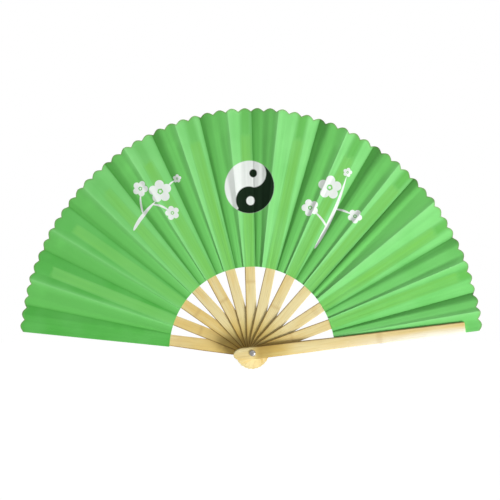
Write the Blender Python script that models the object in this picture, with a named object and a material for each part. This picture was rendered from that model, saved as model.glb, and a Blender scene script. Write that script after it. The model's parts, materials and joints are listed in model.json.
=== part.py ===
# Folding fan for tai chi: bamboo sticks on one rivet, with a pleated cloth leaf.
# The fan stands open and upright. The pivot is the origin, the rivet lies along Y,
# the painted side of the leaf looks along -Y, and +Z is up.

import math

import bmesh
import bpy

for old in list(bpy.data.objects):
    bpy.data.objects.remove(old, do_unlink=True)

# Sticks, from the left to the right as the front shows them.
# Angles are in degrees from +X towards +Z. The first and the last are the guards.
stick_angles = [172.5, 158.4, 145.3, 132.4, 119.1, 105.4, 91.8, 77.8, 63.5, 49.0, 33.6, 20.3, 6.9]
centre_stick = 6

# Where each stick's own panel folds, in degrees to the left and to the right of the stick.
# The first left one and the last right one are the leaf's two ends.
left_fold_angles = [2.7, 3.6, 3.4, 3.5, 3.2, 3.5, 4.2, 6.0, 3.3, 3.1, 6.2, 3.1, 3.6]
right_fold_angles = [4.0, 4.3, 3.5, 4.1, 4.1, 2.6, 1.4, 4.0, 4.0, 1.8, 3.7, 5.1, 1.3]

# Ribs, the thin sticks between the guards
rib_reach = 0.3025  # pivot to tip
rib_tail = 0.024  # pivot to the end behind it
rib_nose = 0.011  # length of the rounded end
rib_handle_width = 0.0150
rib_waist_width = 0.0140  # where the leaf begins
rib_tip_width = 0.0150
rib_handle_thickness = 0.0015
rib_blade_thickness = 0.0009  # under the cloth
rib_tip_corner = 0.002
rib_edge = 0.0002  # bevel along every edge
shoulder_reach = 0.062  # the handle's full width ends here

# Guards, the two thick outer sticks
guard_reach = 0.295
guard_tail = 0.027
guard_nose = 0.013
guard_handle_width = 0.0172
guard_waist_width = 0.0160
guard_tip_width = 0.0158
guard_handle_thickness = 0.0045
guard_blade_thickness = 0.0026
guard_tip_corner = 0.0012
guard_edge = 0.0005

nose_turn = 76.0  # degrees of each rounded end's curve, before its flat tip
nose_steps = 5

# Leaf, the pleated cloth
leaf_reach = 0.340  # pivot to the edge at the top
leaf_inner_reach = 0.1190  # pivot to the inner edge at the top
left_end_share = 0.965  # the leaf is cut a little nearer to the pivot at its ends
right_end_share = 0.938
left_inner_share = 0.985  # and its inner edge too
right_inner_share = 0.957
cloth_thickness = 0.00025
pleat_tilt = 13.0  # degrees
glue_margin = 0.0006  # flat cloth beside a stick before the panel tilts
fold_margin = 0.0006  # least width of a wing
end_panel_step = 0.0011  # from the last rib's panel to the panel under the front guard
scallop_count = 56
scallop_depth = 0.0038
points_per_scallop = 4

# Rivet
pin_radius = 0.0020
head_radius = 0.0042
head_height = 0.0022
washer_radius = 0.0056
washer_thickness = 0.0008
cap_radius = 0.0038
cap_height = 0.0026
cap_depth = 0.0014  # how far the pin goes into the cap
turned_sides = 24
dome_steps = 5
sharp_angle = 35.0  # degrees, above which a turned edge stays sharp

# Fits
gap = 0.0003  # between pieces that touch
blade_margin = 0.003  # the sticks are thin this far before the cloth begins
cut_overrun = 0.004

# Angles and levels that follow
stick_count = len(stick_angles)
last_stick = stick_count - 1
pitch = rib_handle_thickness + gap
panel_offset = rib_blade_thickness / 2 + gap + cloth_thickness / 2
leaf_left_end = stick_angles[0] + left_fold_angles[0]
leaf_right_end = stick_angles[last_stick] - right_fold_angles[last_stick]
scallop_angle = (leaf_left_end - leaf_right_end) / scallop_count
blade_start = leaf_inner_reach * min(left_inner_share, right_inner_share) - blade_margin
pleat_slope = math.tan(math.radians(pleat_tilt))


def stick_level(number):
    """Y of a rib's middle plane: each stick lies over the one on its left."""
    return (centre_stick - number) * pitch


def panel_level(number):
    """Y of the middle of the flat cloth that is glued to a stick."""
    if number < last_stick:
        return stick_level(number) - panel_offset
    return stick_level(number - 1) - panel_offset - end_panel_step


guard_front_seat = stick_level(last_stick - 1) - rib_handle_thickness / 2 - gap
guard_back_seat = stick_level(1) + rib_handle_thickness / 2 + gap
blade_front_seat = panel_level(last_stick) - cloth_thickness / 2 - gap
blade_back_seat = panel_level(0) + cloth_thickness / 2 + gap
guard_front_face = guard_front_seat - guard_handle_thickness
guard_back_face = guard_back_seat + guard_handle_thickness


def material(name, colour, roughness, metallic=0.0):
    """A plain finish with the part's colour."""
    made = bpy.data.materials.new(name)
    made.use_nodes = True
    shader = made.node_tree.nodes["Principled BSDF"]
    shader.inputs["Base Color"].default_value = (*colour, 1.0)
    shader.inputs["Roughness"].default_value = roughness
    shader.inputs["Metallic"].default_value = metallic
    return made


bamboo = material("bamboo", (0.80, 0.66, 0.38), 0.45)
cloth = material("green_cloth", (0.15, 0.62, 0.12), 0.8)
steel = material("rivet_steel", (0.62, 0.62, 0.64), 0.3, 1.0)


def add_object(name, bm, finish, angle=0.0, level=0.0):
    """Puts a finished mesh in the scene, with its origin on the rivet's axis."""
    bmesh.ops.recalc_face_normals(bm, faces=bm.faces)
    mesh = bpy.data.meshes.new(name)
    bm.to_mesh(mesh)
    bm.free()
    mesh.materials.append(finish)
    thing = bpy.data.objects.new(name, mesh)
    thing.location = (0, level, 0)
    thing.rotation_euler = (0, math.radians(-angle), 0)
    bpy.context.scene.collection.objects.link(thing)
    return thing


def loft(rings):
    """A closed solid through rings of points that all have the same count."""
    bm = bmesh.new()
    loops = [[bm.verts.new(point) for point in ring] for ring in rings]
    for near, far in zip(loops, loops[1:]):
        for k in range(len(near)):
            bm.faces.new((near[k - 1], near[k], far[k], far[k - 1]))
    bm.faces.new(reversed(loops[0]))
    bm.faces.new(loops[-1])
    return bm


def stick_ring(along, half_width, front, back, edge):
    """A stick's cross-section: a rectangle with its four edges bevelled."""
    side = half_width - edge
    return [
        (along, back, -side),
        (along, back, side),
        (along, back - edge, half_width),
        (along, front + edge, half_width),
        (along, front, side),
        (along, front, -side),
        (along, front + edge, -half_width),
        (along, back - edge, -half_width),
    ]


def nose_stations(tail, nose, half_width):
    """The rounded end behind the rivet, as (along, half width), from the end inwards."""
    stations = []
    for step in range(nose_steps):
        turn = math.radians(nose_turn) * (1 - step / nose_steps)
        stations.append((-tail + nose * (1 - math.sin(turn)), half_width * math.cos(turn)))
    stations.append((-tail + nose, half_width))
    return stations


def rib_half_width(along):
    """Half the width of a rib outside its handle."""
    share = (along - leaf_inner_reach) / (rib_reach - leaf_inner_reach)
    return (rib_waist_width + share * (rib_tip_width - rib_waist_width)) / 2


def guard_half_width(along):
    """Half the width of a guard outside its handle."""
    share = (along - leaf_inner_reach) / (guard_reach - leaf_inner_reach)
    return (guard_waist_width + share * (guard_tip_width - guard_waist_width)) / 2


def make_rib_mesh():
    """All ribs are alike: a wide handle, a waist where the cloth begins, and a thin blade."""
    handle = rib_handle_thickness / 2
    blade = rib_blade_thickness / 2
    rings = []
    for along, half in nose_stations(rib_tail, rib_nose, rib_handle_width / 2):
        rings.append(stick_ring(along, half, -handle, handle, rib_edge))
    rings.append(stick_ring(shoulder_reach, rib_handle_width / 2, -handle, handle, rib_edge))
    taper = (blade_start - shoulder_reach) / (leaf_inner_reach - shoulder_reach)
    start_half = (rib_handle_width + taper * (rib_waist_width - rib_handle_width)) / 2
    rings.append(stick_ring(blade_start, start_half, -blade, blade, rib_edge))
    rings.append(stick_ring(leaf_inner_reach, rib_waist_width / 2, -blade, blade, rib_edge))
    corner = rib_reach - rib_tip_corner
    rings.append(stick_ring(corner, rib_half_width(corner), -blade, blade, rib_edge))
    tip_half = rib_half_width(rib_reach) - rib_tip_corner
    rings.append(stick_ring(rib_reach, tip_half, -blade, blade, rib_edge))
    return loft(rings)


def make_guard_mesh(seat, face, blade_seat):
    """A guard between its seat on the ribs and its outer face, with the leaf let into it."""
    side = math.copysign(1, face - seat)
    blade_face = blade_seat + side * guard_blade_thickness
    handle = sorted((seat, face))
    blade = sorted((blade_seat, blade_face))
    rings = []
    for along, half in nose_stations(guard_tail, guard_nose, guard_handle_width / 2):
        rings.append(stick_ring(along, half, *handle, guard_edge))
    rings.append(stick_ring(shoulder_reach, guard_handle_width / 2, *handle, guard_edge))
    taper = (blade_start - shoulder_reach) / (leaf_inner_reach - shoulder_reach)
    start_half = (guard_handle_width + taper * (guard_waist_width - guard_handle_width)) / 2
    rings.append(stick_ring(blade_start, start_half, *blade, guard_edge))
    rings.append(stick_ring(leaf_inner_reach, guard_waist_width / 2, *blade, guard_edge))
    corner = guard_reach - guard_tip_corner
    rings.append(stick_ring(corner, guard_half_width(corner), *blade, guard_edge))
    tip_half = guard_half_width(guard_reach) - guard_tip_corner
    rings.append(stick_ring(guard_reach, tip_half, *blade, guard_edge))
    return loft(rings)


def turned(profile):
    """A solid turned about the rivet's axis from (radius, y) points, both ends on the axis."""
    bm = bmesh.new()
    rings = []
    for radius, y in profile[1:-1]:
        ring = []
        for k in range(turned_sides):
            turn = 2 * math.pi * k / turned_sides
            ring.append(bm.verts.new((radius * math.cos(turn), y, radius * math.sin(turn))))
        rings.append(ring)
    start = bm.verts.new((0, profile[0][1], 0))
    end = bm.verts.new((0, profile[-1][1], 0))
    for k in range(turned_sides):
        bm.faces.new((start, rings[0][k - 1], rings[0][k]))
        for near, far in zip(rings, rings[1:]):
            bm.faces.new((near[k - 1], near[k], far[k], far[k - 1]))
        bm.faces.new((end, rings[-1][k], rings[-1][k - 1]))
    return bm


def dome(radius, height, seat, side):
    """Profile points of a domed head, from its rim to its crown, on the seat's given side."""
    points = []
    for step in range(dome_steps + 1):
        turn = math.pi / 2 * step / dome_steps
        points.append((radius * math.cos(turn), seat + side * height * math.sin(turn)))
    points[-1] = (0, points[-1][1])
    return points


def smooth(thing):
    """Shades a round piece smooth, with its real edges kept."""
    thing.data.shade_smooth()
    thing.data.set_sharp_from_angle(angle=math.radians(sharp_angle))


# The bore through every stick, cut by one guide on the rivet's axis
bore_end = max(-guard_front_face, guard_back_face) + cut_overrun
bore_radius = pin_radius + gap
bore_profile = [(0, -bore_end), (bore_radius, -bore_end), (bore_radius, bore_end), (0, bore_end)]
bore = add_object("bore_guide", turned(bore_profile), steel)
bore.hide_render = True
bore.display_type = "WIRE"


def drill(thing, cutter):
    """Cuts a guide's shape out of a piece."""
    cut = thing.modifiers.new("bore", "BOOLEAN")
    cut.object = cutter
    cut.operation = "DIFFERENCE"
    cut.solver = "EXACT"


def stick_name(number):
    """back_guard, rib_01 to rib_11, front_guard."""
    if number == 0:
        return "back_guard"
    if number == last_stick:
        return "front_guard"
    return f"rib_{number:02d}"


# Sticks
rib_bm = make_rib_mesh()
first_rib = add_object(stick_name(1), rib_bm, bamboo, stick_angles[1], stick_level(1))
drill(first_rib, bore)
for number in range(2, last_stick):
    rib = bpy.data.objects.new(stick_name(number), first_rib.data)
    rib.location = (0, stick_level(number), 0)
    rib.rotation_euler = (0, math.radians(-stick_angles[number]), 0)
    bpy.context.scene.collection.objects.link(rib)
    drill(rib, bore)

back_bm = make_guard_mesh(guard_back_seat, guard_back_face, blade_back_seat)
back_guard = add_object(stick_name(0), back_bm, bamboo, stick_angles[0])
drill(back_guard, bore)
front_bm = make_guard_mesh(guard_front_seat, guard_front_face, blade_front_seat)
front_guard = add_object(stick_name(last_stick), front_bm, bamboo, stick_angles[last_stick])
drill(front_guard, bore)


# Leaf
def cut_reach(top, left_share, right_share, angle):
    """Pivot to a cut edge of the leaf, from its reach at the top and its shares of that at the ends."""
    side = math.cos(math.radians(angle))
    end_share = right_share if side > 0 else left_share
    return top * (1 - (1 - end_share) * side * side)


def inner_edge(angle):
    """Pivot to the leaf's inner edge."""
    return cut_reach(leaf_inner_reach, left_inner_share, right_inner_share, angle)


def scallop_tips(angle):
    """Pivot to the leaf's outer edge where it reaches furthest."""
    return cut_reach(leaf_reach, left_end_share, right_end_share, angle)


def outer_edge(angle):
    """Pivot to the leaf's scalloped edge."""
    wave = abs(math.sin(math.pi * (angle - leaf_right_end) / scallop_angle))
    return scallop_tips(angle) - scallop_depth * (1 - wave)


def flat_half(number, along):
    """Half the width of the flat cloth that is glued to a stick."""
    if number in (0, last_stick):
        return max(guard_waist_width, guard_tip_width) / 2 + glue_margin
    return rib_half_width(along) + glue_margin


def rise(number, along, across):
    """How far a panel comes towards the viewer at a place beside its stick."""
    half = flat_half(number, along)
    if across > half and number > 0:
        return (across - half) * pleat_slope
    if across < -half and number < last_stick:
        return (across + half) * pleat_slope
    return 0.0


def panel_place(number, angle, reach):
    """A place on a stick's panel in the stick's own frame, with Y from the panel's flat part."""
    turn = math.radians(angle - stick_angles[number])
    along = reach * math.cos(turn)
    across = reach * math.sin(turn)
    return along, -rise(number, along, across), across


def crease_line(number, side):
    """Where the glued cloth ends, as directions at the leaf's inner and outer edges."""
    angles = []
    for reach in (inner_edge(stick_angles[number]), scallop_tips(stick_angles[number])):
        turn = math.degrees(math.asin(flat_half(number, reach) / reach))
        angles.append(stick_angles[number] + side * turn)
    return angles


def fold_line(number, side):
    """Where a panel folds into the next pleat or ends, as directions at the inner and outer edges."""
    offset = left_fold_angles[number] if side > 0 else right_fold_angles[number]
    angles = []
    for reach in (inner_edge(stick_angles[number]), scallop_tips(stick_angles[number])):
        least = flat_half(number, reach) + fold_margin
        if number == last_stick and side < 0:
            least = guard_tip_width / 2 - fold_margin  # the front guard hides this end
        clear = math.degrees(math.asin(least / reach))
        angles.append(stick_angles[number] + side * max(offset, clear))
    return angles


def edge_angles(high, low):
    """Directions along the scalloped edge from high to low, both included."""
    step = scallop_angle / points_per_scallop
    least = step / 3
    angles = [high]
    number = math.floor((high - leaf_right_end) / step)
    while leaf_right_end + number * step > low + least:
        if leaf_right_end + number * step < high - least:
            angles.append(leaf_right_end + number * step)
        number -= 1
    angles.append(low)
    return angles


def strip(left_line, right_line):
    """(inner direction, outer direction, share of the way) for the lines across a strip of leaf."""
    lines = []
    for angle in edge_angles(left_line[1], right_line[1]):
        share = (left_line[1] - angle) / (left_line[1] - right_line[1])
        lines.append((left_line[0] + share * (right_line[0] - left_line[0]), angle, share))
    return lines


def cloth_slab(inner, outer):
    """A thin closed solid between two rows of points, one row on each edge of the leaf."""
    bm = bmesh.new()
    half = cloth_thickness / 2
    sheets = []
    for side in (-half, half):
        sheets.append([[bm.verts.new((x, y + side, z)) for x, y, z in row] for row in (inner, outer)])
    for k in range(len(inner) - 1):
        for (low, high), flip in zip(sheets, (False, True)):
            face = [low[k], high[k], high[k + 1], low[k + 1]]
            bm.faces.new(reversed(face) if flip else face)
    front, back = sheets
    for near, far in ((front[0], back[0]), (front[1], back[1])):
        for k in range(len(near) - 1):
            bm.faces.new((near[k], near[k + 1], far[k + 1], far[k]))
    for k in (0, -1):
        bm.faces.new((front[0][k], front[1][k], back[1][k], back[0][k]))
    return bm


def make_panel(number):
    """The cloth that is glued to one stick: flat on the stick, with a tilted wing at each side."""
    lines = [fold_line(number, 1)]
    if number > 0:
        lines.append(crease_line(number, 1))
    if number < last_stick:
        lines.append(crease_line(number, -1))
    lines.append(fold_line(number, -1))
    inner = []
    outer = []
    for left_line, right_line in zip(lines, lines[1:]):
        for near, far, share in strip(left_line, right_line):
            if share == 0 and inner:
                continue
            inner.append(panel_place(number, near, inner_edge(near)))
            outer.append(panel_place(number, far, outer_edge(far)))
    name = f"panel_{number:02d}"
    level = panel_level(number)
    return add_object(name, cloth_slab(inner, outer), cloth, stick_angles[number], level)


def fold_level(number, side, angle, reach):
    """Y of the leaf on a panel's fold."""
    return panel_level(number) + panel_place(number, angle, reach)[1]


def make_pleat(number):
    """The free cloth between one stick's panel and the next, rising towards the viewer."""
    left = fold_line(number, -1)
    right = fold_line(number + 1, 1)
    levels = []
    for k, edge in enumerate((inner_edge, outer_edge)):
        from_level = fold_level(number, -1, left[k], edge(left[k]))
        to_level = fold_level(number + 1, 1, right[k], edge(right[k]))
        levels.append((from_level, to_level))
        slack = math.degrees(gap / edge(left[k]))
        left[k] -= slack
        right[k] += slack
    rows = ([], [])
    for near, far, share in strip(left, right):
        for row, angle, edge, (start, end) in zip(rows, (near, far), (inner_edge, outer_edge), levels):
            turn = math.radians(angle)
            reach = edge(angle)
            level = start + share * (end - start)
            row.append((reach * math.cos(turn), level, reach * math.sin(turn)))
    return add_object(f"pleat_{number + 1:02d}", cloth_slab(*rows), cloth)


for number in range(stick_count):
    make_panel(number)
for number in range(last_stick):
    make_pleat(number)

# Rivet: a pin with a domed head in front, and a washer and a pressed cap behind
head_seat = guard_front_face - gap
washer_seat = guard_back_face + gap
cap_seat = washer_seat + washer_thickness + gap
pin_end = cap_seat + cap_depth
pin_profile = [(0, pin_end), (pin_radius, pin_end), (pin_radius, head_seat)]
pin_profile += dome(head_radius, head_height, head_seat, -1)
rivet_pin = add_object("rivet_pin", turned(pin_profile), steel)
smooth(rivet_pin)

washer_end = washer_seat + washer_thickness
washer_profile = [
    (0, washer_seat),
    (washer_radius, washer_seat),
    (washer_radius, washer_end),
    (0, washer_end),
]
rivet_washer = add_object("rivet_washer", turned(washer_profile), steel)
drill(rivet_washer, bore)
smooth(rivet_washer)

cap_bore_end = pin_end + gap
cap_profile = [(0, cap_bore_end), (bore_radius, cap_bore_end), (bore_radius, cap_seat)]
cap_profile += dome(cap_radius, cap_height, cap_seat, 1)
rivet_cap = add_object("rivet_cap", turned(cap_profile), steel)
smooth(rivet_cap)
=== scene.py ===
import json
import math

import bmesh
import bpy
import numpy as np
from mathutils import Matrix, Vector, noise


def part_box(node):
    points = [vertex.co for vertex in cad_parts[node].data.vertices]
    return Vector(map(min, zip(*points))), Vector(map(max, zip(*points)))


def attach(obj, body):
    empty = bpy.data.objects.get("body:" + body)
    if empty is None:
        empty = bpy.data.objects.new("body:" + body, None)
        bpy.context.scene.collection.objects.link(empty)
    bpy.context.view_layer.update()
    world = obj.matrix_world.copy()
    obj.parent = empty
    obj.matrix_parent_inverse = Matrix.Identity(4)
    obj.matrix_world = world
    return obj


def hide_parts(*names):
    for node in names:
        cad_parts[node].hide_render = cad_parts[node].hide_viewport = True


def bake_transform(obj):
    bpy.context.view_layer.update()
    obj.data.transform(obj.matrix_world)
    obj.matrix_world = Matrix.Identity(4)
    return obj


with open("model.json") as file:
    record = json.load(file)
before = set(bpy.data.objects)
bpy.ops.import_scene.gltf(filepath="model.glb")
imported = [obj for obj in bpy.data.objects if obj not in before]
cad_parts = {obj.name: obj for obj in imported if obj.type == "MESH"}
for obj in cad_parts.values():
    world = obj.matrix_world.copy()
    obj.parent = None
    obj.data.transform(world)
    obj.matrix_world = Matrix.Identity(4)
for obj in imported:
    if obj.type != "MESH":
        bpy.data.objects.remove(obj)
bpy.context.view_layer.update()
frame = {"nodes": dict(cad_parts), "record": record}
nodes = frame["nodes"]
bodies = frame["record"]["behaviour"]["bodies"]
scene = bpy.context.scene


def addObject(name, data):
    made = bpy.data.objects.new(name, data)
    scene.collection.objects.link(made)
    return made


# Camera. The picture is square, and its size is told at the rivet's plane.
view = {
    "distance": 1.2,
    "centreX": -0.0036,
    "centreZ": 0.1422,
    "seenHeight": 0.697,
    "sensor": 36.0,
}


def addCamera():
    data = bpy.data.cameras.new("camera")
    data.sensor_width = view["sensor"]
    data.lens = view["sensor"] * view["distance"] / view["seenHeight"]
    camera = addObject("camera", data)
    camera.location = (view["centreX"], -view["distance"], view["centreZ"])
    camera.rotation_euler = (math.pi / 2, 0, 0)
    scene.camera = camera


addCamera()
print("camera: lens", round(scene.camera.data.lens, 2))


# Small tools for materials
def newMaterial(name):
    made = bpy.data.materials.new(name)
    made.use_nodes = True
    tree = made.node_tree
    return made, tree, tree.nodes["Principled BSDF"]


def feed(socket, value):
    if isinstance(value, bpy.types.NodeSocket):
        socket.id_data.links.new(value, socket)
    elif hasattr(value, "__len__") and len(value) == 3 and socket.type == "RGBA":
        socket.default_value = (*value, 1.0)
    else:
        socket.default_value = value


def feedAll(node, inputs):
    for key, value in inputs.items():
        feed(node.inputs[key], value)


def treeOf(values):
    # the tree that the first socket among them belongs to
    return next(value.id_data for value in values if isinstance(value, bpy.types.NodeSocket))


def addNode(tree, kind, inputs=None, **settings):
    made = tree.nodes.new("ShaderNode" + kind)
    for key, value in settings.items():
        setattr(made, key, value)
    feedAll(made, inputs or {})
    return made


def work(kind, inputs, output=0, **settings):
    # a node in the tree that its inputs come from
    return addNode(treeOf(inputs.values()), kind, inputs, **settings).outputs[output]


def calc(operation, *values, clamp=False):
    return work("Math", dict(enumerate(values)), operation=operation, use_clamp=clamp)


def chain(operation, first, *others):
    for other in others:
        first = calc(operation, first, other)
    return first


def product(*values):
    return chain("MULTIPLY", *values)


def highest(*values):
    return chain("MAXIMUM", *values)


def minus(first, second):
    return calc("SUBTRACT", first, second)


def timesPlus(value, factor, added):
    return calc("MULTIPLY_ADD", value, factor, added)


def sumOf(first, second, weights):
    return timesPlus(second, weights[1], product(first, weights[0]))


def splitUp(vector):
    return addNode(vector.id_data, "SeparateXYZ", {0: vector}).outputs


def placeFrom(place, x, z):
    split = splitUp(place)
    return minus(split[0], x), minus(split[1], z)


def spanOf(x, z):
    return calc("SQRT", timesPlus(x, x, product(z, z)))


def blendColour(share, first, second, how="MIX"):
    return work("Mix", {0: share, 6: first, 7: second}, 2, data_type="RGBA", blend_type=how)


def layer(colour, over, *shares):
    # lays one colour over another, as strongly as its shares multiplied
    return blendColour(product(*shares), colour, over)


def softEdge(value, low, high):
    inputs = {"Value": value, "From Min": low, "From Max": high}
    return work("MapRange", inputs, interpolation_type="SMOOTHSTEP")


def stretch(place, scale):
    return work("VectorMath", {0: place, 1: scale}, operation="MULTIPLY")


def noiseOn(place, scale, detail=2.0, roughness=0.5):
    inputs = {"Vector": place, "Scale": scale, "Detail": detail, "Roughness": roughness}
    return work("TexNoise", inputs)


def streaksOn(place, scales, *settings):
    return noiseOn(stretch(place, scales), 1.0, *settings)


def bumpOn(height, strength, distance, under=None):
    inputs = {"Height": height, "Strength": strength, "Distance": distance}
    if under is not None:
        inputs["Normal"] = under
    return work("Bump", inputs)


def markOn(tree, name):
    return addNode(tree, "Attribute", attribute_name=name, attribute_type="GEOMETRY").outputs["Vector"]


def newGroup(name, inputs, outputs):
    # an input without a number is a vector
    tree = bpy.data.node_groups.new(name, "ShaderNodeTree")
    for label, value in inputs.items():
        kind = "NodeSocketVector" if value is None else "NodeSocketFloat"
        socket = tree.interface.new_socket(label, in_out="INPUT", socket_type=kind)
        if value is not None:
            socket.default_value = value
    for label in outputs:
        tree.interface.new_socket(label, in_out="OUTPUT", socket_type="NodeSocketFloat")
    return tree, tree.nodes.new("NodeGroupInput").outputs, tree.nodes.new("NodeGroupOutput").inputs


def useGroup(group, *values):
    # its inputs in the order that the group names them
    return addNode(treeOf(values), "Group", dict(enumerate(values)), node_tree=group).outputs


# Shared effects
weaving = {
    "warp": (900.0, 45.0, 1.0),
    "weft": (45.0, 900.0, 1.0),
}


def makeWeaveGroup():
    # plain weave: threads over and under each other, and slubs where a thread is thicker
    tree, given, out = newGroup("plainWeave", {"Place": None, "Threads": 2600.0}, ["Height", "Slub"])
    inputs = {0: given["Place"], "Scale": given["Threads"]}
    scaled = splitUp(work("VectorMath", inputs, operation="SCALE"))
    feed(out["Height"], product(calc("SINE", scaled[0]), calc("SINE", scaled[1])))
    threads = [streaksOn(given["Place"], weaving[name]) for name in ("warp", "weft")]
    feed(out["Slub"], highest(*threads))
    return tree


handling = {
    "patchDetail": 1.5,
    "patchEdge": (0.35, 0.68),
    "cloudScale": 6.0,
    "cloudDetail": 3.0,
}


def makeWearGroup():
    # uneven handling: broad soft patches with a finer cloud inside them
    tree, given, out = newGroup("handling", {"Place": None, "Scale": 20.0}, ["Patch", "Cloud"])
    patch = noiseOn(given["Place"], given["Scale"], handling["patchDetail"])
    feed(out["Patch"], softEdge(patch, *handling["patchEdge"]))
    finer = product(given["Scale"], handling["cloudScale"])
    feed(out["Cloud"], noiseOn(given["Place"], finer, handling["cloudDetail"]))
    return tree


fibres = {
    "fibre": ((14.0, 700.0, 1300.0), 3.0, 0.6),  # the noise's stretch, detail and roughness
    "vessel": ((38.0, 1500.0, 2600.0), 1.0),
    "vesselEdge": (0.63, 0.74),
    "drift": ((16.0, 30.0, 120.0),),
}


def makeFibreGroup():
    # bamboo: long fibres, dark vessel ends and a broad drift of tone along the strip
    tree, given, out = newGroup("bambooFibre", {"Place": None, "Seed": 0.0}, ["Fibre", "Vessel", "Drift"])
    shift = work("CombineXYZ", dict.fromkeys(range(3), given["Seed"]))
    place = work("VectorMath", {0: given["Place"], 1: shift}, operation="ADD")
    feed(out["Fibre"], streaksOn(place, *fibres["fibre"]))
    vessel = streaksOn(place, *fibres["vessel"])
    feed(out["Vessel"], softEdge(vessel, *fibres["vesselEdge"]))
    feed(out["Drift"], streaksOn(place, *fibres["drift"]))
    return tree


stroke = {
    "start": 0.35,  # how bluntly it starts
    "end": 0.6,  # and how bluntly it ends
    "swell": 0.8,
    "edge": 0.0005,
}


def makeStrokeGroup():
    # one stroke of a loaded brush: it swells, bows and runs out to a point
    inputs = {"Place": None, "StartX": 0.0, "StartZ": 0.0, "Angle": 0.0}
    inputs |= {"Length": 0.05, "Width": 0.006, "Bow": 0.0}
    tree, given, out = newGroup("brushStroke", inputs, ["Mask"])
    offX, offZ = placeFrom(given["Place"], given["StartX"], given["StartZ"])
    turn = calc("RADIANS", given["Angle"])
    cosine, sine = calc("COSINE", turn), calc("SINE", turn)
    far = timesPlus(offX, cosine, product(offZ, sine))
    along = calc("DIVIDE", far, given["Length"])
    aside = minus(product(offZ, cosine), product(offX, sine))
    held = highest(calc("MINIMUM", along, 1.0), 0.0)
    left = minus(1.0, held)
    bowed = minus(aside, product(held, left, given["Bow"]))
    start = calc("POWER", held, stroke["start"])
    end = calc("POWER", left, stroke["end"])
    half = product(start, end, given["Width"], stroke["swell"])
    over = minus(half, calc("ABSOLUTE", bowed))
    feed(out["Mask"], softEdge(over, 0.0, stroke["edge"]))
    return tree


flower = {
    "petals": 5,
    "petalPlace": 0.6,  # this and what follows are in shares of its reach
    "petalEdge": (0.42, 0.38),
    "ringEdge": (0.22, 0.26),
    "heartEdge": (0.14, 0.10),
}


def makeBlossomGroup():
    # a five-petalled flower with a bare ring round its heart
    inputs = {"Place": None, "CentreX": 0.0, "CentreZ": 0.0, "Reach": 0.012, "Turn": 0.0}
    tree, given, out = newGroup("blossom", inputs, ["Mask"])
    offX, offZ = placeFrom(given["Place"], given["CentreX"], given["CentreZ"])
    span = calc("DIVIDE", spanOf(offX, offZ), given["Reach"])
    turned = calc("ADD", calc("ARCTAN2", offZ, offX), calc("RADIANS", given["Turn"]))
    petalAngle = math.tau / flower["petals"]
    folded = minus(calc("FLOORED_MODULO", turned, petalAngle), petalAngle / 2)
    petalX = minus(product(span, calc("COSINE", folded)), flower["petalPlace"])
    petalZ = product(span, calc("SINE", folded))
    petals = softEdge(spanOf(petalX, petalZ), *flower["petalEdge"])
    ring = softEdge(span, *flower["ringEdge"])
    heart = softEdge(span, *flower["heartEdge"])
    feed(out["Mask"], highest(product(petals, ring), heart))
    return tree


weaveGroup = makeWeaveGroup()
wearGroup = makeWearGroup()
fibreGroup = makeFibreGroup()
strokeGroup = makeStrokeGroup()
blossomGroup = makeBlossomGroup()


# Sticks, as the frame holds them
boreClear = 0.004  # beyond this from the axis a point isn't on the bore
levelGap = 0.0001  # points less than this apart count as level with each other


def nodePoints(name):
    # a node's points, and how far each lies from the rivet's axis
    mesh = nodes[name].data
    points = np.empty(len(mesh.vertices) * 3, np.float32)
    mesh.vertices.foreach_get("co", points)
    points = points.reshape(-1, 3).astype(float)
    return points, np.hypot(points[:, 0], points[:, 2])


def readStick(number, body):
    names = bodies[body]
    node = [name for name in names if name.startswith("rib") or name.endswith("guard")][0]
    points, spans = nodePoints(node)
    tip = points[spans > spans.max() - levelGap * 2].mean(axis=0)
    angle = math.atan2(tip[2], tip[0])
    along = points[:, 0] * math.cos(angle) + points[:, 2] * math.sin(angle)
    across = points[:, 2] * math.cos(angle) - points[:, 0] * math.sin(angle)
    outer = np.hypot(along, across) > boreClear
    order = np.sort(along[outer])
    starts = [order[0]] + [b for a, b in zip(order, order[1:]) if b - a > levelGap]
    rings = []
    for start in starts:
        ring = outer & (along > start - levelGap) & (along < start + levelGap * 1.5)
        rings.append((start, abs(across[ring]).max(), points[ring, 1].min(), points[ring, 1].max()))
    return {
        "number": number,
        "body": body,
        "node": node,
        "panel": [name for name in names if name.startswith("panel")][0],
        "isGuard": node.endswith("guard"),
        "angle": math.degrees(angle),
        "rings": np.array(rings),
        "bore": float(np.hypot(along, across).min()),
    }


sticks = [readStick(number, body) for number, body in enumerate(sorted(bodies))]
lastStick = len(sticks) - 1
print("sticks:", [round(stick["angle"], 1) for stick in sticks])


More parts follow.
